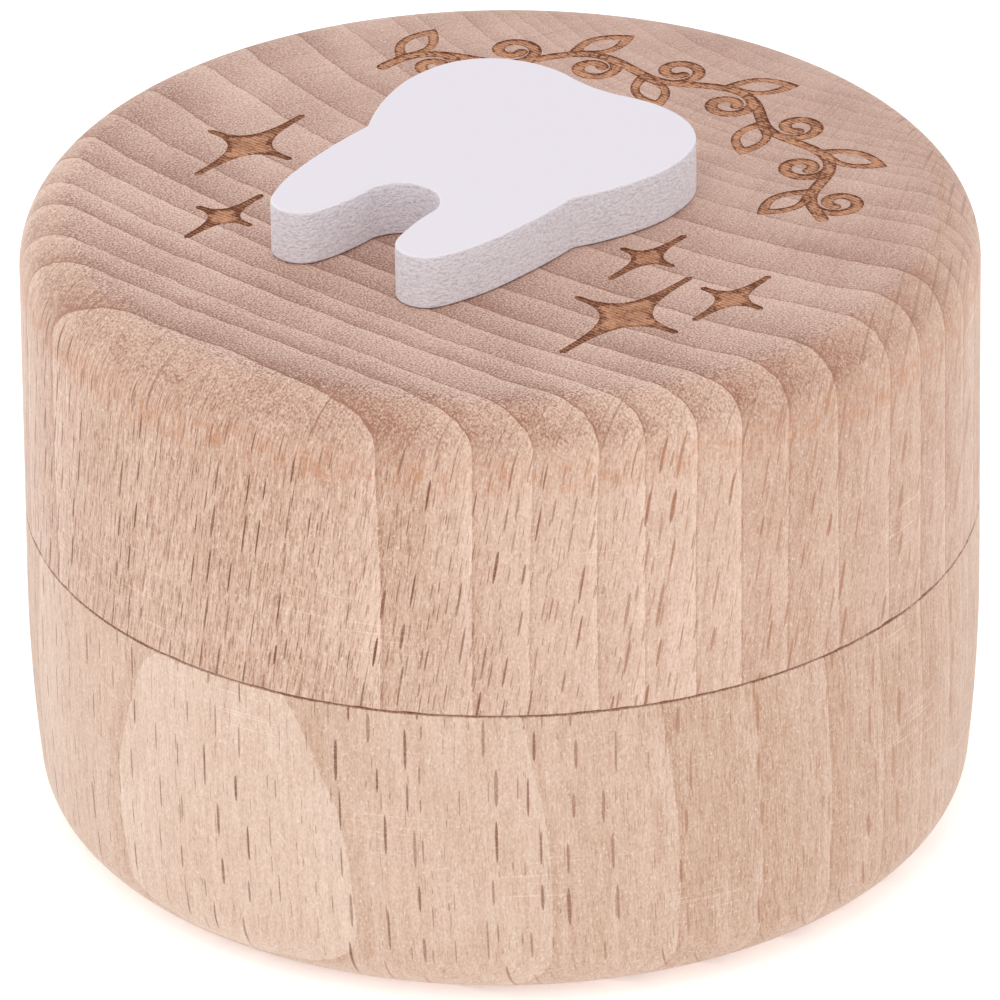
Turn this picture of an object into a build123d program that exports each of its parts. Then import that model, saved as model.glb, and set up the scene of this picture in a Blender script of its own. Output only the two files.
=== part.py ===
# Round baby tooth box: two turned beech halves that press together, and a painted wooden tooth on the lid
# Millimetres, +Z up, the origin at the middle of the underside, and +Y from the tooth's roots to its crown
import os

from build123d import *

# Outside of the closed box
outer_diameter = 50.0
base_height = 17.4
lid_height = 17.0

# Side of the base, straight under the seam and then drawn in towards the foot
seam_land = 4.2
foot_draw_in = 0.9
foot_round = 3.3

# Rounded shoulder of the lid
shoulder_round = 3.3

# Hollow for the teeth, bored flat into both halves
wall_thickness = 6.5
floor_thickness = 5.0
ceiling_thickness = 5.0

# Spigot on the base that presses into the rebate of the lid
spigot_wall = 2.9
spigot_height = 4.9
spigot_lead_chamfer = 0.5
fit_clearance = 0.08
spigot_end_gap = 0.5
rebate_mouth_chamfer = 0.35

# Sharp edges at the seam, eased with abrasive paper
seam_ease = 0.08

# Tooth sawn from thin board, set on the lid by hand
tooth_width = 17.3
tooth_height = 21.5
tooth_thickness = 3.0
tooth_centre_x = -0.2
tooth_centre_y = -1.7
waist_round = 1.0
root_gap_width = 4.1
root_gap_depth = 6.6

# Drop of glue pressed flat under the tooth's crown, kept back from the tooth's edge
glue_thickness = 0.05
glue_inset = 1.2

# Right half of the tooth's outline, as points that tangent arcs run through: shares of its half width
# outwards, and of its height up from the root tips
crown_dip_share = 0.979
crown_shares = [(0.22, 0.99), (0.652, 0.981), (0.969, 0.841), (0.981, 0.68)]
waist_shares = (0.79, 0.48)
root_shares = [(0.756, 0.187), (0.651, 0.044)]
root_tip_shares = (0.5, 0)
# Inside of its root: shares of the way from the gap out to the tip, and of the gap's straight side
root_inside_shares = (0.224, 0.255)

# Radii and levels that follow from the sizes above
outer_radius = outer_diameter / 2
hollow_radius = outer_radius - wall_thickness
spigot_radius = hollow_radius + spigot_wall
spigot_top = base_height + spigot_height
rebate_radius = spigot_radius + fit_clearance
rebate_top = spigot_top + spigot_end_gap
lid_top = base_height + lid_height
ceiling_level = lid_top - ceiling_thickness


def outline_point(shares):
    """A point of the tooth's outline from its shares of the half width and the height."""
    across, up = shares
    return (across * tooth_width / 2, up * tooth_height)


def arcs_through(points, direction):
    """Arcs that run through the points in turn, the first one starting in this direction."""
    arc = TangentArc(points[0], points[1], tangent=direction)
    for point in points[2:]:
        arc = TangentArc(arc @ 1, point, tangent=arc % 1)


def tooth_plane(level):
    """The level plane that the tooth's outline is drawn on, with its origin between the root tips."""
    return Plane((tooth_centre_x, tooth_centre_y - tooth_height / 2, level))


# Outline of the tooth from above, with the Y axis up its middle and its root tips on the X axis
gap_radius = root_gap_width / 2
gap_side = (gap_radius, root_gap_depth - gap_radius)
crown_dip = outline_point((0, crown_dip_share))
waist = outline_point(waist_shares)
root_tip = outline_point(root_tip_shares)
inside_across, inside_up = root_inside_shares
root_inside = (gap_radius + inside_across * (root_tip[0] - gap_radius), inside_up * gap_side[1])
with BuildSketch() as tooth_outline:
    with BuildLine():
        arcs_through([crown_dip, *map(outline_point, crown_shares), waist], (1, 0))
        arcs_through([waist, *map(outline_point, root_shares), root_tip, root_inside, gap_side], (0.05, -1))
        TangentArc(gap_side, (0, root_gap_depth), tangent=(0, 1))
        mirror(about=Plane.YZ)
    make_face()
    waists = tooth_outline.vertices().sort_by(lambda corner: abs(corner.Y - waist[1]))[:2]
    fillet(waists, waist_round)

# Base, turned as a bowl with a spigot round its mouth
with BuildPart() as base:
    with BuildSketch(Plane.XZ) as base_profile:
        with BuildLine():
            foot = Line((0, 0), (outer_radius - foot_draw_in, 0))
            TangentArc((outer_radius, base_height - seam_land), foot @ 1, tangent=(0, -1))
            Polyline(
                (outer_radius, base_height - seam_land),
                (outer_radius, base_height - seam_ease),
                (outer_radius - seam_ease, base_height),
                (spigot_radius, base_height),
                (spigot_radius, spigot_top - spigot_lead_chamfer),
                (spigot_radius - spigot_lead_chamfer, spigot_top),
                (hollow_radius, spigot_top),
                (hollow_radius, floor_thickness),
                (0, floor_thickness),
                (0, 0),
            )
        make_face()
        foot_corner = base_profile.vertices().sort_by_distance(foot @ 1)[0]
        fillet(foot_corner, foot_round)
    revolve(axis=Axis.Z)
base.part.label = "base"

# Lid, turned as a cap with a rebate that the spigot presses into
with BuildPart() as lid:
    with BuildSketch(Plane.XZ) as lid_profile:
        with BuildLine():
            Polyline(
                (outer_radius - seam_ease, base_height),
                (outer_radius, base_height + seam_ease),
                (outer_radius, lid_top),
                (0, lid_top),
                (0, ceiling_level),
                (hollow_radius, ceiling_level),
                (hollow_radius, rebate_top),
                (rebate_radius, rebate_top),
                (rebate_radius, base_height + rebate_mouth_chamfer),
                (rebate_radius + rebate_mouth_chamfer, base_height),
                close=True,
            )
        make_face()
        shoulder_corner = lid_profile.vertices().sort_by_distance((outer_radius, lid_top))[0]
        fillet(shoulder_corner, shoulder_round)
    revolve(axis=Axis.Z)
lid.part.label = "lid"

# Glue film
glue_radius_across = waist[0] - glue_inset
glue_radius_up = (crown_dip[1] - root_gap_depth) / 2 - glue_inset
glue_centre = (0, (crown_dip[1] + root_gap_depth) / 2)
with BuildPart() as glue_film:
    with BuildSketch(tooth_plane(lid_top)):
        with Locations(glue_centre):
            Ellipse(glue_radius_across, glue_radius_up)
    extrude(amount=glue_thickness)
glue_film.part.label = "glue_film"

# Tooth
with BuildPart() as tooth:
    with BuildSketch(tooth_plane(lid_top + glue_thickness)):
        add(tooth_outline.sketch)
    extrude(amount=tooth_thickness)
tooth.part.label = "tooth"

# Files
os.makedirs("parts", exist_ok=True)
for piece in (base, lid, glue_film, tooth):
    export_step(piece.part, f"parts/{piece.part.label}.step")
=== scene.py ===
import math
from dataclasses import dataclass
from types import SimpleNamespace

import bpy
from mathutils import Matrix, Vector, noise
from mathutils.geometry import delaunay_2d_cdt


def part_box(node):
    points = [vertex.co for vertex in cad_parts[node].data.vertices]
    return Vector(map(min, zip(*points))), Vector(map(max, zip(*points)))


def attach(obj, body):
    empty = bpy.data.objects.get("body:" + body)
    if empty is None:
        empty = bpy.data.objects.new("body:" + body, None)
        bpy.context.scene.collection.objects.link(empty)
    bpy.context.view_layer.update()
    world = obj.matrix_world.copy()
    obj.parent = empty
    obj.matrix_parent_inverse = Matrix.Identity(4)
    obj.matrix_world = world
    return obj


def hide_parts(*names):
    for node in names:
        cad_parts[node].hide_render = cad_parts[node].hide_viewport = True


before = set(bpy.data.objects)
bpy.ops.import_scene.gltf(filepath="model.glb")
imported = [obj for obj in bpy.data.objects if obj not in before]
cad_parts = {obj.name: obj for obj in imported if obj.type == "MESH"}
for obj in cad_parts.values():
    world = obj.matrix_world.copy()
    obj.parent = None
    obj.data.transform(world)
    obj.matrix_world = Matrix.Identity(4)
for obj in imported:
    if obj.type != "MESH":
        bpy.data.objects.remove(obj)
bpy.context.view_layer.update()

MM = 0.001

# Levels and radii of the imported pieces
_, base_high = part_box("base")
lid_low, lid_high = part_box("lid")
tooth_low, tooth_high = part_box("tooth")
outer_radius = lid_high.y / MM
seam_level = lid_low.z / MM
lid_top = lid_high.z / MM
spigot_top = base_high.z / MM

# Side and foot of the base
seam_land = 4.2
foot_draw_in = 0.9
foot_round = 3.3

# Shoulder of the lid, hollow, spigot and rebate
shoulder_round = 3.3
wall_thickness = 6.5
floor_thickness = 5.0
ceiling_thickness = 5.0
spigot_wall = 2.9
spigot_lead_chamfer = 0.5
fit_clearance = 0.08
spigot_end_gap = 0.5
rebate_mouth_chamfer = 0.35
seam_ease = 0.08
hollow_radius = outer_radius - wall_thickness
spigot_radius = hollow_radius + spigot_wall
rebate_radius = spigot_radius + fit_clearance
rebate_top = spigot_top + spigot_end_gap
ceiling_level = lid_top - ceiling_thickness

# Turned meshes, and the chips along their seam
turned_segments = 384
round_steps = 20
side_steps = 12
flat_rim = 0.4
sharp_angle = 32.0
chip_depth = 0.09
chip_level = 0.12
chips_per_mm = 1.9
worn_stretches_per_mm = 0.7
base_chip_seed = 3.1
lid_chip_seed = 8.7

# Tooth
tooth_edge_round = 0.17
tooth_edge_steps = 5
tooth_side_steps = 5
tooth_wobble = 0.02
wobbles_per_mm = 1.3
wobble_rise = 0.7
tooth_top_inset = 1.6 * tooth_edge_round
between_root_tips = ((tooth_low.x + tooth_high.x) / 2 / MM, tooth_low.y / MM)
tooth_width = (tooth_high.x - tooth_low.x) / MM
tooth_height = (tooth_high.y - tooth_low.y) / MM
waist_round = 1.0
root_gap_width = 4.1
root_gap_depth = 6.6
crown_dip_share = 0.979
crown_shares = [(0.22, 0.99), (0.652, 0.981), (0.969, 0.841), (0.981, 0.68)]
waist_shares = (0.79, 0.48)
root_shares = [(0.756, 0.187), (0.651, 0.044)]
root_tip_shares = (0.5, 0)
root_inside_shares = (0.224, 0.255)
root_start_direction = (0.05, -1)
arc_steps = 9
gap_steps = 10
waist_steps = 6

# Engraving burnt into the top of the lid
engraving_depth = 0.035
burnt_edge = 0.34
sparkle_tip = 0.2
sparkle_hollowness = 0.43
sparkle_steps = 18
# Centre of each sparkle, and how far it reaches across and along
sparkles = [
    ((-14.31, -3.0), 2.85, 4.5),
    ((-10.11, -10.21), 1.9, 3.2),
    ((10.21, -0.54), 1.8, 3.25),
    ((13.38, -6.32), 3.4, 5.45),
    ((16.52, -1.55), 2.05, 3.25),
]
sprig_radius = 16.9
sprig_start = 30.0
sprig_end = 150.0
sprig_stroke = 0.7
sprig_core = 0.2
sprig_waves = 4
sprig_sway = 0.75
sprig_steps = 160
stroke_end_steps = 8
leaf_length = 3.5
leaf_width = 1.7
leaf_fullness = 0.85
leaf_turn = 38.0
leaf_steps = 14
curl_radius = 1.45
curl_end_radius = 0.55
curl_step = 0.24
curl_turn = 25.0
curl_steps = 26
# Shares of the stem: a leaf starts so far before its crest, and it aims, and the curl starts, so far after
leaf_start = 0.035
leaf_aim = 0.01
curl_start_share = 0.02
# Shares of a stroke by which the leaf's rings differ in length and in width from the leaf itself
leaf_outline_grows = (1, 0.5)
leaf_hole_shrinks = (1.7, 0.9)
leaf_core_hole_shrinks = (1, 0.45)
smallest_step = 0.008
meeting_distance = 1e-6


def interpolate(first, last, share):
    """The value this share of the way from the first to the last."""
    return first + (last - first) * share


def steps(first, last, count):
    """Evenly spaced values from the first to the last, both included."""
    return [interpolate(first, last, step / count) for step in range(count + 1)]


def direction(degrees):
    """The unit vector at this angle, counter-clockwise from +X."""
    angle = math.radians(degrees)
    return Vector((math.cos(angle), math.sin(angle)))


def arc_points(centre, radius, first, last, count):
    """Points of an arc, its angles in degrees."""
    return [Vector(centre) + radius * direction(angle) for angle in steps(first, last, count)]


def new_piece(name, points, faces, body, node):
    """A mesh piece with its points in millimetres, which rides on a body and stands for a node."""
    mesh = bpy.data.meshes.new(name)
    mesh.from_pydata([Vector(point) * MM for point in points], [], faces)
    mesh.update()
    piece = bpy.data.objects.new(name, mesh)
    bpy.context.scene.collection.objects.link(piece)
    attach(piece, body)
    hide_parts(node)
    return piece


def shade(piece, flat_faces=()):
    """Smooth shading with sharp edges kept, and these faces flat."""
    mesh = piece.data
    mesh.polygons.foreach_set("use_smooth", [True] * len(mesh.polygons))
    for index in flat_faces:
        mesh.polygons[index].use_smooth = False
    mesh.set_sharp_from_angle(angle=math.radians(sharp_angle))


def turned(profile):
    """Points and faces of (radius, level) pairs turned round the Z axis, the outside on their right."""
    points = []
    rings = []
    for radius, level in profile:
        if radius == 0:
            rings.append([len(points)] * turned_segments)
            points.append((0, 0, level))
            continue
        rings.append(range(len(points), len(points) + turned_segments))
        for segment in range(turned_segments):
            across, along = radius * direction(360 * segment / turned_segments)
            points.append((across, along, level))
    faces = []
    for lower, upper in zip(rings, rings[1:]):
        for segment in range(turned_segments):
            after = (segment + 1) % turned_segments
            corners = (lower[segment], lower[after], upper[after], upper[segment])
            faces.append(tuple(dict.fromkeys(corners)))
    return points, faces


def chipped(points, level, seed):
    """The same points with the rim at this level worn back a little where its edge has chipped."""
    worn = []
    for x, y, z in points:
        spot = Vector((x, y, seed))
        if abs(z - level) < 1.5 * seam_ease and math.hypot(x, y) > outer_radius - 2 * seam_ease:
            chip = noise.noise(spot * chips_per_mm) + noise.noise(spot * worn_stretches_per_mm)
            chip = max(0, chip - chip_level)
            shrink = 1 - chip_depth * chip / outer_radius
            x, y = x * shrink, y * shrink
        worn.append((x, y, z))
    return worn


def base_profile():
    """Profile of the base: from the middle of its underside, over side and spigot, to its floor."""
    side_height = seam_level - seam_land
    side_radius = (foot_draw_in**2 + side_height**2) / (2 * foot_draw_in)
    side_centre = (outer_radius - side_radius, side_height)
    foot_reach = math.sqrt((side_radius - foot_round) ** 2 - (side_height - foot_round) ** 2)
    foot_centre = (side_centre[0] + foot_reach, foot_round)
    meeting = -math.degrees(math.asin((side_height - foot_round) / (side_radius - foot_round)))
    return [
        (0, 0),
        (foot_centre[0] - flat_rim, 0),
        *arc_points(foot_centre, foot_round, -90, meeting, round_steps),
        *arc_points(side_centre, side_radius, meeting, 0, side_steps)[1:],
        (outer_radius, seam_level - 2 * seam_ease),
        (outer_radius, seam_level - seam_ease),
        (outer_radius - seam_ease, seam_level),
        (spigot_radius, seam_level),
        (spigot_radius, spigot_top - spigot_lead_chamfer),
        (spigot_radius - spigot_lead_chamfer, spigot_top),
        (hollow_radius, spigot_top),
        (hollow_radius, floor_thickness),
        (0, floor_thickness),
    ]


def lid_profile():
    """Profile of the lid: from the middle of its ceiling, over mouth and side, to the rim of its top."""
    shoulder_centre = (outer_radius - shoulder_round, lid_top - shoulder_round)
    return [
        (0, ceiling_level),
        (hollow_radius, ceiling_level),
        (hollow_radius, rebate_top),
        (rebate_radius, rebate_top),
        (rebate_radius, seam_level + rebate_mouth_chamfer),
        (rebate_radius + rebate_mouth_chamfer, seam_level),
        (outer_radius - seam_ease, seam_level),
        (outer_radius, seam_level + seam_ease),
        (outer_radius, seam_level + 2 * seam_ease),
        *arc_points(shoulder_centre, shoulder_round, 0, 90, round_steps),
        (shoulder_centre[0] - flat_rim, lid_top),
    ]


def sparkle_shape(centre, reach_across, reach_along):
    """A four-point sparkle with hollow sides and blunt tips, no hole, and its core inside the burnt edge."""
    quarter = []
    for angle in steps(0, 90, sparkle_steps):
        across, along = (abs(share) ** (2 / sparkle_hollowness) for share in direction(angle))
        across = interpolate(sparkle_tip, reach_across - sparkle_tip, across)
        along = interpolate(sparkle_tip, reach_along - sparkle_tip, along)
        quarter.append(Vector((across, along)))
    inner = [point - Vector((burnt_edge, burnt_edge)) for point in quarter if min(point) > burnt_edge]
    outline = [Vector((reach_across, 0)), *quarter, Vector((0, reach_along))]
    return mirrored_four(centre, outline), None, mirrored_four(centre, inner), None


def counter_clockwise(outline):
    """The same closed outline, turned round if it runs clockwise."""
    area = sum(point.cross(after) for point, after in zip(outline, [*outline[1:], outline[0]]))
    return outline if area > 0 else [*reversed(outline)]


def mirrored_four(centre, quarter):
    """A closed outline round a centre, from its quarter mirrored over both axes."""
    outline = []
    for flip_across, flip_along in ((1, 1), (-1, 1), (-1, -1), (1, -1)):
        turn = [Vector((point.x * flip_across, point.y * flip_along)) for point in quarter]
        outline.extend(turn if flip_across == flip_along else reversed(turn))
    corners = []
    for point in outline:
        if not corners or (point - corners[-1]).length > smallest_step:
            corners.append(point)
    if (corners[0] - corners[-1]).length < smallest_step:
        corners.pop()
    return [Vector(centre) + corner for corner in corners]


def stroke_outline(path, half_width):
    """A closed outline round a path, with round ends."""
    tangents = [(after - before).normalized() for before, after in zip(path, path[1:])]
    tangents = [
        (before + after).normalized()
        for before, after in zip([tangents[0], *tangents], [*tangents, tangents[-1]])
    ]
    sides = [Vector((-tangent.y, tangent.x)) * half_width for tangent in tangents]
    left = [point + side for point, side in zip(path, sides)]
    right = [point - side for point, side in zip(path, sides)]
    return [*left, *round_end(path[-1], sides[-1]), *reversed(right), *round_end(path[0], -sides[0])]


def round_end(point, side):
    """The points of a half circle that closes a stroke, from this side of the path to the other."""
    angles = steps(0, math.pi, stroke_end_steps)[1:-1]
    return [point + Matrix.Rotation(-angle, 2) @ side for angle in angles]


def leaf_ring(centre, heading, growth, strokes=(0, 0)):
    """A leaf's outline, two bows that meet in points, grown in length and width by parts of a stroke."""
    length, width = (
        size + growth * share * sprig_stroke for size, share in zip((leaf_length, leaf_width), strokes)
    )
    upper = []
    for share in steps(0, 1, leaf_steps):
        bow = math.sin(math.pi * share) ** leaf_fullness
        upper.append(Vector(((share - 0.5) * length, width / 2 * bow)))
    lower = [Vector((point.x, -point.y)) for point in reversed(upper[1:-1])]
    turn = Matrix.Rotation(math.radians(heading), 2)
    return [centre + turn @ point for point in [*upper, *lower]]


def sprig_point(share):
    """A point of the sprig's stem, which sways about an arc behind the tooth's crown."""
    sway = sprig_sway * math.sin(2 * math.pi * sprig_waves * share)
    return (sprig_radius + sway) * direction(interpolate(sprig_end, sprig_start, share))


def sprig_shapes():
    """The sprig's stem, leaves and curls, each as its outline and hole, and its core's outline and hole."""
    half = sprig_stroke / 2
    shapes = []

    def add_stroke(path):
        shapes.append((stroke_outline(path, half), None, stroke_outline(path, sprig_core / 2), None))

    add_stroke([sprig_point(share) for share in steps(0, 1, sprig_steps)])
    for wave in range(2 * sprig_waves):
        crest = (wave + 0.5) / (2 * sprig_waves)
        outward = 1 if wave % 2 == 0 else -1
        root = sprig_point(crest - leaf_start)
        ahead = sprig_point(crest + leaf_aim) - root
        heading = math.degrees(math.atan2(ahead.y, ahead.x))
        leaf_heading = heading + leaf_turn * outward
        centre = root + direction(leaf_heading) * (leaf_length / 2 + half)
        shapes.append(
            (
                leaf_ring(centre, leaf_heading, 1, leaf_outline_grows),
                leaf_ring(centre, leaf_heading, -1, leaf_hole_shrinks),
                leaf_ring(centre, leaf_heading, 0),
                leaf_ring(centre, leaf_heading, -1, leaf_core_hole_shrinks),
            )
        )
        add_stroke(curl_path(sprig_point(crest + curl_start_share), heading - curl_turn * outward, outward))
    return shapes


def curl_path(start, heading, outward):
    """A tendril that leaves the stem and winds up towards its own middle."""
    path = [start]
    turn = 0
    for share in steps(0, 1, curl_steps):
        radius = interpolate(curl_radius, curl_end_radius, share)
        turn += math.degrees(curl_step / radius) * -outward
        path.append(path[-1] + direction(heading + turn) * curl_step)
    return path


def engraved_top(radius, level):
    """Points, faces, burnt faces and scorch of the lid's top, cut out where the ornament is burnt in."""
    rings = [[radius * direction(360 * segment / turned_segments) for segment in range(turned_segments)]]
    cuts = []
    cores = set()
    shapes = [sparkle_shape(*sparkle) for sparkle in sparkles] + sprig_shapes()
    for outline, hole, core, core_hole in shapes:
        cuts.append((len(rings), len(rings) + 1 if hole else None))
        rings += [ring for ring in (outline, hole) if ring]
        core_rings = [ring for ring in (core, core_hole) if ring]
        cores.update(range(len(rings), len(rings) + len(core_rings)))
        rings += core_rings
    corners = []
    outlines = []
    inner = set()
    for index, ring in enumerate(rings):
        outlines.append(list(range(len(corners), len(corners) + len(ring))))
        if index in cores:
            inner.update(outlines[-1])
        corners.extend(counter_clockwise(ring))
    flat, _, triangles, sources, _, owners = delaunay_2d_cdt(corners, [], outlines, 1, meeting_distance)
    burnt = [any(cut in owner and hole not in owner for cut, hole in cuts) for owner in owners]
    points = [(point.x, point.y, level) for point in flat]
    points += [(point.x, point.y, level - engraving_depth) for point in flat]
    scorch = [0.0] * len(flat) + [0.0 if inner & set(source) else 1.0 for source in sources]
    faces = []
    burnt_faces = []
    sides = {}
    for triangle, is_burnt in zip(triangles, burnt):
        lift = len(flat) if is_burnt else 0
        faces.append(tuple(corner + lift for corner in triangle))
        burnt_faces.append(is_burnt)
        for corner, after in zip(triangle, [*triangle[1:], triangle[0]]):
            sides.setdefault(frozenset((corner, after)), []).append((corner, after, is_burnt))
    for pair in sides.values():
        if len(pair) == 2 and pair[0][2] != pair[1][2]:
            corner, after, _ = pair[0] if not pair[0][2] else pair[1]
            faces.append((after, corner, corner + len(flat), after + len(flat)))
            burnt_faces.append(True)
    return points, faces, burnt_faces, scorch


def outline_point(shares):
    """A point of the tooth's outline from its shares of the half width and the height."""
    across, up = shares
    return Vector((across * tooth_width / 2, up * tooth_height))


def bent_through(points, heading):
    """Samples of tangent arcs through the points from a first heading, and the last heading."""
    samples = [points[0]]
    for start, end in zip(points, points[1:]):
        chord = end - start
        half_turn = heading.angle_signed(chord)
        for share in steps(0, 1, arc_steps)[1:]:
            reach = chord.length * math.sin(half_turn * share) / math.sin(half_turn)
            samples.append(start + Matrix.Rotation(-half_turn * share, 2) @ heading.normalized() * reach)
        heading = Matrix.Rotation(-2 * half_turn, 2) @ heading
    return samples, heading


def tooth_outline():
    """The tooth's outline from above, counter-clockwise, with the origin between its root tips."""
    gap_radius = root_gap_width / 2
    gap_side = Vector((gap_radius, root_gap_depth - gap_radius))
    waist = outline_point(waist_shares)
    root_tip = outline_point(root_tip_shares)
    inside_across, inside_up = root_inside_shares
    inside = Vector((interpolate(gap_radius, root_tip.x, inside_across), inside_up * gap_side.y))
    crown_points = [outline_point((0, crown_dip_share)), *map(outline_point, crown_shares), waist]
    root_points = [waist, *map(outline_point, root_shares), root_tip, inside, gap_side]
    crown, crown_heading = bent_through(crown_points, Vector((1, 0)))
    root_heading = Vector(root_start_direction)
    root, _ = bent_through(root_points, root_heading)
    cut = waist_round * math.tan(crown_heading.angle(root_heading) / 2)
    crown = [point for point in crown if (point - waist).length > cut]
    root = [point for point in root if (point - waist).length > cut]
    into = crown_heading.normalized() * cut
    out = root_heading.normalized() * cut
    bend = [waist - into * (1 - share) ** 2 + out * share**2 for share in steps(0, 1, waist_steps)]
    gap = arc_points((0, root_gap_depth - gap_radius), gap_radius, 0, 90, gap_steps)[1:]
    right = [*crown, *bend, *root, *gap]
    left = [Vector((-point.x, point.y)) for point in reversed(right[1:-1])]
    return [*reversed([*right, *left])]


def make_base():
    """Turned base."""
    points, faces = turned(base_profile())
    points = chipped(points, seam_level, base_chip_seed)
    piece = new_piece("base_turned", points, faces, "box_base", "base")
    shade(piece)
    return piece


def make_lid():
    """Turned lid with the ornament burnt into its top."""
    points, faces = turned(lid_profile())
    points = chipped(points, seam_level, lid_chip_seed)
    top_radius = outer_radius - shoulder_round - flat_rim
    top_points, top_faces, burnt_faces, scorch = engraved_top(top_radius, lid_top)
    offset = len(points)
    faces_all = faces + [tuple(corner + offset for corner in face) for face in top_faces]
    piece = new_piece("lid_turned", points + top_points, faces_all, "box_lid", "lid")
    mesh = piece.data
    values = [0.0] * len(points) + scorch
    mesh.attributes.new("scorch", "FLOAT", "POINT").data.foreach_set("value", values)
    mesh.polygons.foreach_set("material_index", [0] * len(faces) + [int(burnt) for burnt in burnt_faces])
    shade(piece, range(len(faces), len(faces_all)))
    return piece


def make_tooth():
    """Sawn tooth with its edges eased by the paint."""
    outline = [Vector(between_root_tips) + point for point in tooth_outline()]
    count = len(outline)
    outwards = []
    for index in range(count):
        along = (outline[(index + 1) % count] - outline[index - 1]).normalized()
        outwards.append(Vector((along.y, -along.x)))
    low, high = tooth_low.z / MM, tooth_high.z / MM
    levels = [(tooth_edge_round / 2, low), (0, low + tooth_edge_round / 2)]
    side_levels = steps(low + tooth_edge_round, high - tooth_edge_round, tooth_side_steps)
    levels += [(0, level) for level in side_levels]
    for angle in steps(0, 90, tooth_edge_steps)[1:]:
        across, up = direction(angle)
        levels.append((tooth_edge_round * (1 - across), high - tooth_edge_round * (1 - up)))
    levels.append((tooth_top_inset, high))
    points = []
    for inset, level in levels:
        for point, outward in zip(outline, outwards):
            spot = Vector((point.x, point.y, level * wobble_rise)) * wobbles_per_mm
            wobble = tooth_wobble * noise.noise(spot)
            moved = point - outward * (inset + tooth_wobble - wobble)
            points.append((moved.x, moved.y, level))
    faces = [tuple(reversed(range(count)))]
    for ring in range(len(levels) - 1):
        for index in range(count):
            after = (index + 1) % count
            low_ring, high_ring = ring * count, (ring + 1) * count
            faces.append((low_ring + index, low_ring + after, high_ring + after, high_ring + index))
    faces.append(tuple(range((len(levels) - 1) * count, len(levels) * count)))
    piece = new_piece("tooth_sawn", points, faces, "box_lid", "tooth")
    shade(piece, [0, len(faces) - 1])
    return piece


base = make_base()
lid = make_lid()
tooth = make_tooth()

# Camera where the photograph was taken from: far off, with a long lens
camera_azimuth = 39.0
camera_elevation = 27.69
camera_roll = 0.631
camera_distance = 0.85
camera_lens = 583.8
camera_pan = 0.14
camera_height = 16.78
sensor_width = 36
nearest_seen = 0.05
furthest_seen = 20


def towards(azimuth, elevation):
    """The unit vector from the box to a place at these angles, the azimuth counted from the front."""
    turn, lift = math.radians(azimuth), math.radians(elevation)
    return Vector((math.sin(turn) * math.cos(lift), -math.cos(turn) * math.cos(lift), math.sin(lift)))


def make_camera():
    """Camera at the photograph's viewing angle."""
    turn, roll = math.radians(camera_azimuth), math.radians(camera_roll)
    back = towards(camera_azimuth, camera_elevation)
    level_right = Vector((math.cos(turn), math.sin(turn), 0))
    level_up = back.cross(level_right)
    right = level_right * math.cos(roll) - level_up * math.sin(roll)
    up = level_up * math.cos(roll) + level_right * math.sin(roll)
    data = bpy.data.cameras.new("camera")
    data.lens = camera_lens
    data.sensor_width = sensor_width
    data.clip_start = nearest_seen
    data.clip_end = furthest_seen
    camera = bpy.data.objects.new("camera", data)
    place = Vector((0, 0, camera_height * MM)) - level_right * camera_pan * MM + back * camera_distance
    camera.matrix_world = Matrix.Translation(place) @ Matrix((right, up, back)).transposed().to_4x4()
    bpy.context.scene.collection.objects.link(camera)
    bpy.context.scene.camera = camera


make_camera()


class Field:
    """A number that shader nodes work out, written like plain arithmetic."""

    def __init__(self, socket):
        self.socket = socket

    def math(self, operation, *others):
        node = self.socket.id_data.nodes.new("ShaderNodeMath")
        node.operation = operation
        for slot, value in zip(node.inputs, (self, *others)):
            plug(slot, value)
        return Field(node.outputs[0])

    def __add__(self, other):
        return self.math("ADD", other)

    def __sub__(self, other):
        return self.math("SUBTRACT", other)

    def __mul__(self, other):
        return self.math("MULTIPLY", other)

    def __truediv__(self, other):
        return self.math("DIVIDE", other)

    def __pow__(self, other):
        return self.math("POWER", other)

    def __neg__(self):
        return self.math("MULTIPLY", -1)

    def __abs__(self):
        return self.math("ABSOLUTE")

    def flipped(self):
        """1 minus the field."""
        return self.math("MULTIPLY", -1).math("ADD", 1)

    def to(self, low, high):
        """The low value where the field is 0 and the high one where it is 1."""
        return self * (high - low) + low

    def between(self, low, high):
        """0 at the low value and 1 at the high one, eased at both."""
        node = self.socket.id_data.nodes.new("ShaderNodeMapRange")
        node.interpolation_type = "SMOOTHSTEP"
        plug(node.inputs["Value"], self)
        plug(node.inputs["From Min"], low)
        plug(node.inputs["From Max"], high)
        return Field(node.outputs["Result"])


def plug(slot, value):
    """Links a field or a socket to a slot, or sets the slot to a plain value."""
    if isinstance(value, Field):
        value = value.socket
    if isinstance(value, bpy.types.NodeSocket):
        slot.id_data.links.new(value, slot)
    else:
        slot.default_value = value


def triple(across, along, up):
    """A vector of three fields."""
    tree = next(value.socket.id_data for value in (across, along, up) if isinstance(value, Field))
    node = tree.nodes.new("ShaderNodeCombineXYZ")
    for slot, value in zip(node.inputs, (across, along, up)):
        plug(slot, value)
    return node.outputs[0]


def split(vector):
    """The three fields of a vector."""
    node = vector.id_data.nodes.new("ShaderNodeSeparateXYZ")
    plug(node.inputs[0], vector)
    return [Field(output) for output in node.outputs]


def clouds(vector, detail, roughness):
    """Soft noise between 0 and 1 whose humps are about one unit apart."""
    node = vector.id_data.nodes.new("ShaderNodeTexNoise")
    plug(node.inputs["Vector"], vector)
    node.inputs["Scale"].default_value = 1
    node.inputs["Detail"].default_value = detail
    node.inputs["Roughness"].default_value = roughness
    return Field(node.outputs["Fac"])


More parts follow.
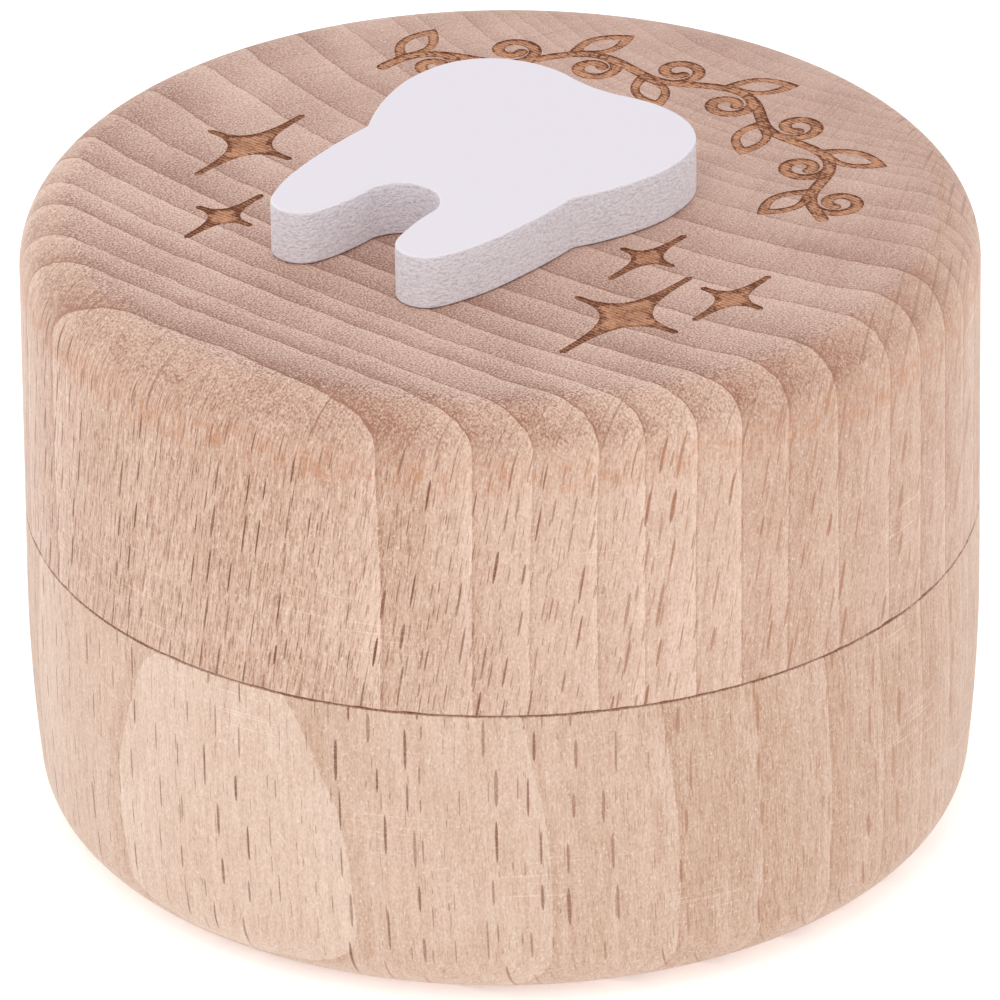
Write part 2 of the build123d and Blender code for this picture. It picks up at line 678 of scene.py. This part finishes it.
@dataclass
class Noise:
    """Noise with this many humps per millimetre along each direction of the place."""

    humps: tuple
    detail: int = 1
    roughness: float = 0.5
    shift: float = 0
    levels: tuple = None

    def at(self, place):
        """Its value between 0 and 1, stretched between its levels if it has any."""
        across, along, up = (share * count for share, count in zip(place, self.humps))
        up = up + self.shift if self.shift else up
        value = clouds(triple(across, along, up), self.detail, self.roughness)
        return value.between(*self.levels) if self.levels else value

    def about_zero(self, place):
        """Its value less a half, so that it goes either way from 0."""
        return self.at(place) - 0.5


def weighted(weights, *fields):
    """The sum of the fields, each times its weight."""
    first, *others = (field * weight for weight, field in zip(weights, fields, strict=True))
    return sum(others, first)


def srgb(*levels):
    """A colour from its display levels, 0 to 255."""
    shares = [level / 255 for level in levels]
    return (*(share / 12.92 if share <= 0.04045 else ((share + 0.055) / 1.055) ** 2.4 for share in shares), 1)


def mix(share, first, second):
    """A colour this share of the way from the first to the second."""
    node = share.socket.id_data.nodes.new("ShaderNodeMix")
    node.data_type = "RGBA"
    plug(node.inputs["Factor"], share)
    plug(node.inputs["A"], first)
    plug(node.inputs["B"], second)
    return node.outputs["Result"]


def finish(shader, colour, roughness, shine=0.5):
    """Sets a shader's colour, roughness and shine."""
    plug(shader.inputs["Base Color"], colour)
    shader.inputs["Roughness"].default_value = roughness
    shader.inputs["Specular IOR Level"].default_value = shine


def new_material(name):
    """A material, its node tree and its shader."""
    material = bpy.data.materials.new(name)
    material.use_nodes = True
    return material, material.node_tree, material.node_tree.nodes["Principled BSDF"]


def bumped(shader, height, strength):
    """Gives a shader a relief from a height field in millimetres."""
    bump = shader.id_data.nodes.new("ShaderNodeBump")
    bump.inputs["Strength"].default_value = strength
    bump.inputs["Distance"].default_value = MM
    plug(bump.inputs["Height"], height)
    plug(shader.inputs["Normal"], bump.outputs[0])


def dice(across, along, up):
    """Three random numbers of the cell at this whole-numbered place."""
    node = across.socket.id_data.nodes.new("ShaderNodeTexWhiteNoise")
    plug(node.inputs["Vector"], triple(across, along, up))
    return split(node.outputs["Color"])


def place_on_piece(tree):
    """The point's place in millimetres and the way its face looks, both carried by the piece."""
    node = tree.nodes.new("ShaderNodeTexCoord")
    place = [share / MM for share in split(node.outputs["Object"])]
    return place, split(node.outputs["Normal"])


@dataclass
class Rays:
    """One set of rays in the wood: thin upright lenses that run out from the pith."""

    spacing: tuple
    half_thickness: float
    half_height: float
    share: float
    seed: float


@dataclass
class Grain:
    """How one block of beech grew and how it was cut."""

    pith: tuple
    ring_edges: list
    flattening: tuple
    tilt: float
    top_lean: float
    ring_contrast: float
    ray_lean: float
    ray_rise: float
    rays: list
    ray_darkness: float
    shoulder_stain: float
    streaks: float
    bark_streaks: float
    tone: float
    bark_tone: float
    heart_tone: float
    side_pale: tuple
    side_deep: tuple


# Noises on the place in the tree: round the pith, up and outwards
fibre_noise = Noise((10, 0.6, 10), detail=2, roughness=0.65)
strand_noise = Noise((2.6, 0.16, 2.6))
pore_noise = Noise((13, 1.4, 13), roughness=0.6, levels=(0.55, 0.7))
dash_noise = Noise((5, 14, 1), levels=(0.3, 0.7))

# Noises on the place in the box: across, along and up
waver_noise = Noise((0.3, 0.3, 0.05))
fine_waver_noise = Noise((1.7, 1.7, 0.2))
speckle_noise = Noise((9, 9, 5), roughness=0.6)
# Painted glints: pale specks of painted highlight, on the sides and the end grain alike
painted_glint_noise = Noise((10, 10, 6), detail=0, shift=40, levels=(0.66, 0.8))
cloud_noise = Noise((0.2, 0.2, 0.12), detail=2)
mottle_noise = Noise((1.3, 1.3, 1.3), detail=3, roughness=0.7)
# Lathe marks: real tool marks in the relief, with their pale highlight painted into the colour of the sides
lathe_and_highlight_noise = Noise((0.14, 0.14, 9), levels=(0.66, 0.7))
worn_noise = Noise((0.11, 0.11, 0.2), detail=0, shift=7, levels=(0.55, 0.7))
seam_shade_noise = Noise((0.6, 0.6, 1), detail=2)

# Rings, and the millimetres that they waver
waver_reach = 0.5
fine_waver_range = (0.05, 0.19)
# Radii between which the bark's side, the heart's side and coarse end grain set in
bark_radii = (60, 66)
heart_radii = (58, 44)
open_grain_radii = (22, 58)
# Shares of a ring between which its late wood and dark line set in and its early wood ends
late_wood = (0.25, 1.05)
dark_line = (0.93, 0.985)
early_wood = (0.3, 0.02)
early_wood_on_side = (0.2, 0)
# Late wood that a ring has, and the seed of what is its own
late_wood_range = (0.75, 1.25)
ring_seed = 3.0
# Weights of late wood, dark line, early wood and the ring's own shade
end_ring_weights = (0.29, 0.26, -0.15, 0.16)
side_ring_weights = (0.1, 0.14, -0.13, 0.12)

# Rays: radius at which the angle round the pith is counted in millimetres
ray_reference = 60.0
# Most cells by which one column of rays is shifted against the next
column_shift = 9
# Number that turns one die of a cell into another
dice_stretch = 17
# Size of the smallest ray and darkness of the palest, as shares of the full one
smallest_ray = 0.5
palest_ray = 0.6
# Share of its cell that a ray strays in, and of a ray over which its sides and ends fade
ray_stray = 0.5
ray_soft_side = 0.3
ray_soft_end = 0.2
small_ray_weight = 0.7
# A ray's strength and its colour, by how far the face looks at the pith
ray_strength_facing = (0.1, 0.6)
ray_strength_range = (0.6, 1.15)
ray_colour_facing = (0.7, 1)
ray_flat_on = srgb(186, 130, 100)
ray_end_on = srgb(118, 62, 38)
ray_in_end_grain = srgb(140, 92, 70)
# Darkness that pores leave in a ray
dash_range = (0.7, 1)

# Sides, with the weights of pores, and of strands, speckles, clouds and lathe marks; the lathe marks'
# negative weight paints them paler, a painted highlight on real tool marks
side_pores = 0.3
side_weights = (0.32, 0.6, 0.3, -0.22)
# Strength and colour of the painted highlight glints on the sides
side_painted_glint = 0.45
painted_glint_on_side = srgb(255, 240, 226)

# End grain, which sets in as the face looks up or down; looking down it sets in late, so that the foot's
# round keeps the paler side colour as painted light from below
end_grain_above = (0.2, 0.8)
end_grain_below = (0.8, 1)
# Strength of its speckles at the heart, and what the bark's side adds
fine_speckle = 0.6
coarse_speckle = 2.1
# Strength of the rings at the heart and at the bark
end_ring_range = (0.3, 1.1)
end_fibre = 1.1
end_cloud = 0.5
end_tone = 0.45
# Strength of the painted highlight glints on the end grain
end_painted_glint = 0.35
end_pale = srgb(232, 198, 181)
end_deep = srgb(148, 99, 80)
# Colour of the painted highlight glints on the end grain
painted_glint_on_end = srgb(244, 224, 212)

# Stain on the lid's shoulder, which starts and ends at these shares of its rise
stain_start = (-0.4, 0.15)
stain_end = (1, 0.9)
stain_mottle = 0.6
stain_at_heart = 0.2
stain_as_end_grain = 0.35
# Strength of rays in clean and in stained end grain
end_ray_range = (0.2, 0.6)
stained_pale = srgb(240, 207, 186)
stained_deep = srgb(171, 119, 94)

# Rusty band under the stain, patchy by the mottle
rust_start = (-0.45, -0.1)
rust_end = (0.5, 0.05)
rust_mottle = (-0.12, 0.14)
rust_fibres = (-0.12, 0.16)
rust_range = (0.15, 0.75)
rust_in_end_grain = 0.3
rust_on_side = srgb(208, 140, 96)
rust_on_end = srgb(214, 142, 98)

# Painted shade in the seam between lid and base, which sets in between these distances from the seam and from
# the axis
seam_distances = (0.09, 0.02)
seam_radii = (outer_radius - 0.4, outer_radius - 0.2)
seam_shade_range = (0.4, 0.9)
seam_painted_shade = srgb(146, 90, 60)

# Relief in millimetres of fibres, pores, speckles, lathe marks and rays
wood_relief = (0.014, -0.02, 0.012, 0.006, -0.01)


def ring_number(radius, edges):
    """How many rings lie inside this radius: a whole number at each ring's edge, and even steps between."""
    node = radius.socket.id_data.nodes.new("ShaderNodeFloatCurve")
    points = node.mapping.curves[0].points
    span = edges[-1] - edges[0]
    last = len(edges) - 1
    for index, edge in enumerate(edges[1:-1], 1):
        points.new((edge - edges[0]) / span, index / last)
    for point in points:
        point.handle_type = "VECTOR"
    node.mapping.update()
    plug(node.inputs["Value"], (radius - edges[0]) / span)
    return Field(node.outputs[0]) * last


def ring_tones(radius, edges):
    """How dark the rings make the end grain, and how dark the sides."""
    ring = ring_number(radius, edges)
    phase = ring.math("FRACT")
    own_shade, own_late, _ = dice(ring.math("FLOOR"), ring_seed, 0.0)
    late = phase.between(*late_wood) * own_late.to(*late_wood_range)
    line = phase.between(*dark_line)
    own_shade = own_shade - 0.5
    on_end = weighted(end_ring_weights, late, line, phase.between(*early_wood), own_shade)
    on_side = weighted(side_ring_weights, late, line, phase.between(*early_wood_on_side), own_shade)
    return on_end, on_side


def ray_share(around, up, radius, rays):
    """How much of the point lies in a ray of this set, each ray with its own size and darkness."""
    space_around, space_up, space_out = rays.spacing
    cell_around = around / space_around
    column = cell_around.math("FLOOR")
    shift_up, shift_out, _ = dice(column, rays.seed, 0.0)
    cell_up = up / space_up + shift_up * column_shift
    cell_out = radius / space_out + shift_out * column_shift
    row = cell_up.math("FLOOR")
    depth = cell_out.math("FLOOR")
    chance_around, chance_up, chance_size = dice(column, row + rays.seed, depth)
    chance_there, chance_dark, chance_thick = (
        (chance * dice_stretch).math("FRACT") for chance in (chance_around, chance_up, chance_size)
    )
    half_height = chance_size.to(smallest_ray, 1) * rays.half_height
    half_thickness = chance_thick.to(smallest_ray, 1) * rays.half_thickness
    room = 1 - 2 * rays.half_height / space_up
    off_around = cell_around - column - 0.5 - (chance_around - 0.5) * ray_stray
    off_around = off_around * space_around * (radius / ray_reference)
    off_up = (cell_up - row - 0.5 - (chance_up - 0.5) * room) * space_up / half_height
    off_out = (cell_out - depth) * 2 - 1
    bow = (off_up**4 + off_out**2).flipped()
    edge = rays.half_thickness * ray_soft_side
    inside = (half_thickness * bow.math("MAXIMUM", 0) - abs(off_around)).between(-edge, edge)
    there = (chance_there - rays.share).math("LESS_THAN", 0)
    return inside * bow.between(0, ray_soft_end) * there * chance_dark.to(palest_ray, 1)


def all_rays(around, up, radius, grain):
    """How much of the point lies in any ray, the first and largest set the strongest."""
    ray_up = up + radius * grain.ray_rise
    ray = ray_share(around, ray_up, radius, grain.rays[0])
    for rays in grain.rays[1:]:
        ray = ray.math("MAXIMUM", ray_share(around, ray_up, radius, rays) * small_ray_weight)
    return ray


def wood_marks(grain, place, face):
    """What the wood shows at a place: shares from 0 to 1, and tones that go either way from 0."""
    across, along, up = place
    face_across, face_along, face_up = face
    out_across = across - grain.pith[0]
    out_along = along - grain.pith[1]
    distance = (out_across**2 + out_along**2).math("SQRT")
    below_seam = (up - seam_level) * -1
    rise = (up - (lid_top - shoulder_round)) / shoulder_round
    end_grain = face_up.between(*end_grain_above).math("MAXIMUM", (-face_up).between(*end_grain_below))

    # Rings, flattened, leaning and wavering a little
    sideways = across / outer_radius
    radius = distance + sideways**2 * grain.flattening[0] + sideways**4 * grain.flattening[1]
    radius = radius + below_seam * grain.tilt + rise.between(0, 1) * grain.top_lean
    radius = radius + waver_noise.about_zero(place) * waver_reach
    radius = radius + fine_waver_noise.about_zero(place) * end_grain.to(*fine_waver_range)
    end_rings, side_rings = ring_tones(radius, grain.ring_edges)

    around = out_across.math("ARCTAN2", -out_along) * ray_reference + below_seam * grain.ray_lean
    in_tree = (around, up, radius)
    mottle = mottle_noise.about_zero(place)
    stain = rise.between(*stain_start) * rise.between(*stain_end)
    rust = rise.between(*rust_start) * rise.between(*rust_end) * mottle.between(*rust_mottle)
    return SimpleNamespace(
        end_on=abs((face_across * out_across + face_along * out_along) / distance),
        end_grain=end_grain,
        bark_side=radius.between(*bark_radii),
        heart_side=radius.between(*heart_radii),
        open_grain=radius.between(*open_grain_radii),
        end_rings=end_rings,
        side_rings=side_rings,
        ray=all_rays(around, up, radius, grain),
        dashes=dash_noise.at(in_tree).to(*dash_range),
        fibre=fibre_noise.about_zero(in_tree),
        strand=strand_noise.about_zero(in_tree),
        pores=pore_noise.at(in_tree),
        speckle=speckle_noise.about_zero(place),
        painted_glint=painted_glint_noise.at(place),
        cloud=cloud_noise.about_zero(place),
        mottle=mottle,
        lathe_and_highlight=lathe_and_highlight_noise.at(place) * worn_noise.at(place),
        stain=stain * grain.shoulder_stain,
        rust=rust * grain.shoulder_stain,
    )


def side_colour(marks, grain):
    """Colour of the sides, whose rays are dark and thin end on, and paler and broad flat on."""
    streaks = marks.bark_side * grain.bark_streaks + grain.streaks
    tone = weighted(
        (1, *side_weights, grain.ring_contrast, grain.bark_tone, grain.heart_tone),
        *((marks.fibre + marks.pores * side_pores) * streaks, marks.strand, marks.speckle, marks.cloud),
        *(marks.lathe_and_highlight, marks.side_rings, marks.bark_side, marks.heart_side),
    )
    colour = mix(tone + grain.tone, grain.side_pale, grain.side_deep)
    # Painted highlight: pale glints
    colour = mix(marks.painted_glint * side_painted_glint, colour, painted_glint_on_side)
    ray_colour = mix(marks.end_on.between(*ray_colour_facing), ray_flat_on, ray_end_on)
    ray_strength = marks.end_on.between(*ray_strength_facing).to(*ray_strength_range) * grain.ray_darkness
    colour = mix((marks.ray * marks.dashes * ray_strength).math("MINIMUM", 1), colour, ray_colour)
    return mix(marks.rust * marks.fibre.between(*rust_fibres).to(*rust_range), colour, rust_on_side)


def end_colour(marks):
    """Colour of the end grain, on top and underneath."""
    tone = weighted(
        (1, end_fibre, 1, end_cloud),
        marks.end_rings * marks.open_grain.to(*end_ring_range),
        marks.fibre,
        marks.speckle * (marks.open_grain * coarse_speckle - marks.stain + fine_speckle),
        marks.cloud,
    )
    stain_tone = marks.stain * (marks.mottle * stain_mottle + marks.heart_side * stain_at_heart)
    pale = mix(marks.stain, end_pale, stained_pale)
    deep = mix(marks.stain, end_deep, stained_deep)
    colour = mix(tone + end_tone + stain_tone, pale, deep)
    # Painted highlight: pale glints
    colour = mix(marks.painted_glint * end_painted_glint, colour, painted_glint_on_end)
    colour = mix(marks.ray * marks.stain.to(*end_ray_range), colour, ray_in_end_grain)
    return mix(marks.rust * rust_in_end_grain, colour, rust_on_end)


def seam_shade_share(place):
    """How much painted shade lies at the point, in the seam and on the outside only."""
    across, along, up = place
    from_axis = (across**2 + along**2).math("SQRT")
    seam = abs(up - seam_level).between(*seam_distances) * from_axis.between(*seam_radii)
    return (seam * seam_shade_noise.at(place).to(*seam_shade_range)).math("MINIMUM", 1)


def beech(name, grain):
    """Beech cut from one block, with sides and end grain that show the same rings and rays."""
    material, tree, shader = new_material(name)
    place, face = place_on_piece(tree)
    marks = wood_marks(grain, place, face)
    end_share = marks.end_grain + marks.stain * stain_as_end_grain * (marks.mottle + 0.5)
    colour = mix(end_share.math("MINIMUM", 1), side_colour(marks, grain), end_colour(marks))
    # Darker brown along the seam: painted shade between lid and base
    finish(shader, mix(seam_shade_share(place), colour, seam_painted_shade), roughness=0.55, shine=0.4)
    shader.inputs["Sheen Weight"].default_value = 0.12
    relief = weighted(wood_relief, marks.fibre, marks.pores, marks.speckle, marks.lathe_and_highlight, marks.ray)
    bumped(shader, relief, strength=0.6)
    return material


lid_grain = Grain(
    pith=(2.1, 41.2),
    ring_edges=[
        *(14.0, 15.6, 17.2, 18.8, 20.3, 21.7, 23.0, 24.1, 25.0, 26.1, 26.9, 27.6, 28.5, 30.0, 32.0, 33.2),
        *(35.5, 38.0, 40.8, 43.3, 46.8, 49.6, 52.0, 53.9, 55.9, 57.6, 59.8, 61.5, 63.8, 67.6, 70.0),
    ],
    flattening=(-4.25, 1.1),
    tilt=0.0,
    top_lean=0.7,
    ring_contrast=1.0,
    ray_lean=0.14,
    ray_rise=0.3,
    rays=[
        Rays(spacing=(1.25, 2.7, 9.0), half_thickness=0.085, half_height=1.3, share=0.95, seed=1.0),
        Rays(spacing=(0.8, 1.9, 7.0), half_thickness=0.055, half_height=0.85, share=0.9, seed=2.0),
        Rays(spacing=(0.5, 1.3, 5.0), half_thickness=0.035, half_height=0.45, share=0.6, seed=3.0),
    ],
    ray_darkness=1.0,
    shoulder_stain=0.9,
    streaks=0.5,
    bark_streaks=0.65,
    tone=0.36,
    bark_tone=0.08,
    heart_tone=0.18,
    side_pale=srgb(254, 223, 203),
    side_deep=srgb(176, 124, 93),
)
base_grain = Grain(
    pith=(-2.2, 43.0),
    ring_edges=[
        *(14.0, 18.0, 22.2, 26.0, 30.4, 34.0, 37.5, 41.2, 44.6, 47.8, 51.0, 54.4, 57.8, 61.0),
        *(64.5, 67.8, 75.0),
    ],
    flattening=(0.0, 0.0),
    tilt=0.071,
    top_lean=0.0,
    ring_contrast=0.6,
    ray_lean=0.0,
    ray_rise=0.0,
    rays=[
        Rays(spacing=(1.7, 3.0, 9.0), half_thickness=0.1, half_height=1.35, share=0.95, seed=4.0),
        Rays(spacing=(1.05, 2.2, 7.0), half_thickness=0.055, half_height=0.8, share=0.6, seed=5.0),
        Rays(spacing=(0.6, 1.2, 5.0), half_thickness=0.035, half_height=0.35, share=0.3, seed=6.0),
    ],
    ray_darkness=0.85,
    shoulder_stain=0.0,
    streaks=0.62,
    bark_streaks=-0.22,
    tone=0.57,
    bark_tone=-0.15,
    heart_tone=0.0,
    side_pale=srgb(253, 228, 209),
    side_deep=srgb(184, 132, 98),
)


# Burnt wood, with the lines that the engraver's beam left
scan_line_spacing = 0.24
scan_line_waver = 1.2
blotch_noise = Noise((1.1, 1.1, 1))
burn_noise = Noise((3.2, 3.2, 1), detail=3, roughness=0.7)
char_noise = Noise((11, 11, 1))
# How much the burnt edge strays, and the levels between which it sets in
ragged_stray = 1.8
ragged_levels = (0.1, 0.9)
# Weights of ragged edge, blotches, mottle, fine char and scan lines
burnt_weights = (0.5, 0.9, 1.3, 1.2, 0.18)
burnt_tone = 0.34
burnt_pale = srgb(210, 154, 120)
burnt_deep = srgb(104, 56, 34)
# Relief in millimetres of fine char and scan lines
burnt_relief = (0.04, 0.015)


def burnt_wood():
    """Wood burnt by the engraver: dark and ragged at its edge, with fine scan lines across the middle."""
    material, tree, shader = new_material("burnt_beech")
    place, _ = place_on_piece(tree)
    node = tree.nodes.new("ShaderNodeAttribute")
    node.attribute_name = "scorch"
    scorch = Field(node.outputs["Fac"])
    blotches = blotch_noise.about_zero(place)
    mottle = burn_noise.about_zero(place)
    fine = char_noise.about_zero(place)
    scan = (place[1] * (2 * math.pi / scan_line_spacing) + mottle * scan_line_waver).math("SINE")
    ragged = (scorch + mottle * ragged_stray).between(*ragged_levels)
    tone = weighted(burnt_weights, ragged, blotches, mottle, fine, scan) + burnt_tone
    finish(shader, mix(tone, burnt_pale, burnt_deep), roughness=0.8, shine=0.2)
    bumped(shader, weighted(burnt_relief, fine, scan), strength=0.7)
    return material


# Paint of the tooth, whose sides and eased edge are told by how level the face is; the eased edge carries a
# painted highlight, and the sides are painted paler than the top as painted light
saw_noise = Noise((2.2, 2.2, 6), detail=3, roughness=0.7)
stipple_noise = Noise((5, 5, 6), detail=2, roughness=0.6)
paint_side = (0.7, 0.3)
edge_highlight_start = (0.1, 0.3)
edge_highlight_end = (0.98, 0.8)
# Weights of saw marks and stipple on the sides, then of what is everywhere
paint_side_weights = (0.9, 1.5)
# Sides painted paler than the top by this much: painted light
side_painted_light_tone = -0.18
paint_stipple = 0.06
# Painted highlight along the eased edge
painted_edge_highlight = -0.2
paint_tone = 0.28
paint_pale = srgb(243, 239, 244)
paint_deep = srgb(199, 182, 201)
# Relief in millimetres, the same way
paint_side_relief = (0.12, 0.12)
paint_relief = 0.004


def white_paint():
    """Matt white paint over sawn wood: smooth on top and rough on the sides, with a painted highlight on the
    eased edge and painted light on the sides.
    """
    material, tree, shader = new_material("white_paint")
    place, (_, _, face_up) = place_on_piece(tree)
    level = abs(face_up)
    side = level.between(*paint_side)
    # Painted highlight: the eased edge, between the top and the sides
    edge = level.between(*edge_highlight_start) * level.between(*edge_highlight_end)
    saw = saw_noise.about_zero(place)
    stipple = stipple_noise.about_zero(place)
    # Sides painted paler than the top: painted light
    tone = (weighted(paint_side_weights, saw, stipple) + side_painted_light_tone) * side
    tone = tone + stipple * paint_stipple + edge * painted_edge_highlight + paint_tone
    finish(shader, mix(tone, paint_pale, paint_deep), roughness=0.75, shine=0.25)
    relief = weighted(paint_side_relief, saw, stipple) * side + stipple * paint_relief
    bumped(shader, relief, strength=1.0)
    return material


# Glue
glue_noise = Noise((2, 2, 2), detail=2)
glue_pale = srgb(226, 218, 198)
glue_deep = srgb(206, 192, 164)


def clear_glue():
    """Dried glue."""
    material, tree, shader = new_material("dried_glue")
    place, _ = place_on_piece(tree)
    finish(shader, mix(glue_noise.at(place), glue_pale, glue_deep), roughness=0.4)
    return material


lid_wood = beech("lid_beech", lid_grain)
base_wood = beech("base_beech", base_grain)
for piece, materials in ((base, [base_wood]), (lid, [lid_wood, burnt_wood()]), (tooth, [white_paint()])):
    for material in materials:
        piece.data.materials.append(material)
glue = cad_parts["glue_film"]
glue.data.materials.clear()
glue.data.materials.append(clear_glue())


# Floor and surroundings
floor_half_width = 3.0
floor_seen = srgb(255, 255, 255)
floor_as_lamp = srgb(145, 145, 145)
floor_glow = 0.75
floor_glow_seen = 0.33
world_seen = 1.0
world_as_lamp = 0.9

# Soft square lamps: turn from the camera and elevation in degrees, size in metres, watts and colour
lamp_distance = 0.6
lamps = {
    "top_lamp": (-20, 70, 0.4, 0.35, (1, 1, 1)),
    "left_edge_lamp": (-130, 8, 0.5, 0.6, (0.88, 0.95, 1.0)),
    "right_edge_lamp": (130, 8, 0.5, 0.35, (0.88, 0.95, 1.0)),
}


def make_floor():
    """Plain pale floor that keeps the box's shadow, and lights its foot from below."""
    signs = ((-1, -1), (1, -1), (1, 1), (-1, 1))
    corners = [(floor_half_width * across, floor_half_width * along, 0) for across, along in signs]
    mesh = bpy.data.meshes.new("floor")
    mesh.from_pydata(corners, [], [(0, 1, 2, 3)])
    floor = bpy.data.objects.new("floor", mesh)
    bpy.context.scene.collection.objects.link(floor)
    material, tree, shader = new_material("floor_paint")
    path = tree.nodes.new("ShaderNodeLightPath")
    seen = Field(path.outputs["Is Camera Ray"])
    finish(shader, mix(seen, floor_as_lamp, floor_seen), roughness=1.0, shine=0.0)
    shader.inputs["Emission Color"].default_value = (1, 1, 1, 1)
    plug(shader.inputs["Emission Strength"], seen.to(floor_glow, floor_glow_seen))
    mesh.materials.append(material)


def make_world():
    """White surroundings, a little dimmer as a lamp than as a background."""
    world = bpy.data.worlds.new("studio")
    bpy.context.scene.world = world
    world.use_nodes = True
    tree = world.node_tree
    path = tree.nodes.new("ShaderNodeLightPath")
    seen = Field(path.outputs["Is Camera Ray"])
    for ray in ("Is Glossy Ray", "Is Transmission Ray"):
        seen = seen.math("MAXIMUM", Field(path.outputs[ray]))
    background = tree.nodes["Background"]
    background.inputs["Color"].default_value = (1, 1, 1, 1)
    plug(background.inputs["Strength"], seen.to(world_as_lamp, world_seen))


def make_lamp(name, turn, elevation, size, energy, colour):
    """A soft square lamp that faces the box."""
    data = bpy.data.lights.new(name, "AREA")
    data.size = size
    data.energy = energy
    data.color = colour
    lamp = bpy.data.objects.new(name, data)
    back = towards(camera_azimuth + turn, elevation)
    lamp.location = back * lamp_distance
    lamp.rotation_euler = back.to_track_quat("Z", "Y").to_euler()
    bpy.context.scene.collection.objects.link(lamp)


make_floor()
make_world()
for name, values in lamps.items():
    make_lamp(name, *values)
bpy.context.scene.view_settings.view_transform = "Standard"
